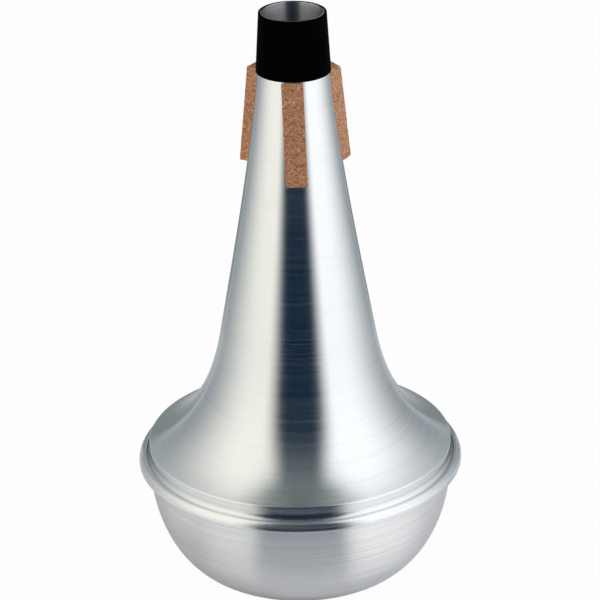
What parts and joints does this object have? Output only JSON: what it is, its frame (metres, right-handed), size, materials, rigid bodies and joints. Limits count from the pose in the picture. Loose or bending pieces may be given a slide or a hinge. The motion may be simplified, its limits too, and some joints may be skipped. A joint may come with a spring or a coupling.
{
  "type": "trombone straight mute",
  "caption": "Straight mute for a trombone: spun aluminium cone and bowl joined by a rolled bead, rubber collar on the open neck, cork strips that grip the bell.",
  "frame": {"origin": "centre of the flat underside of the bowl", "axes": "+Z along the mute's axis towards the open neck, -Y towards the front cork strip"},
  "size_m": [0.15, 0.15, 0.269],
  "materials": {
    "brushed_aluminium": "spun and polished, with fine lathe lines around the axis",
    "black_rubber": "satin black",
    "cork": "agglomerated cork, cut and unsealed",
    "sealing_rubber": "matt dark grey"
  },
  "bodies": {
    "root": {"cone_shell": "brushed_aluminium", "bowl_shell": "brushed_aluminium", "neck_collar": "black_rubber", "cork_strip_front": "cork", "cork_strip_right": "cork", "cork_strip_left": "cork", "seam_seal": "sealing_rubber"}
  },
  "joints": []
}
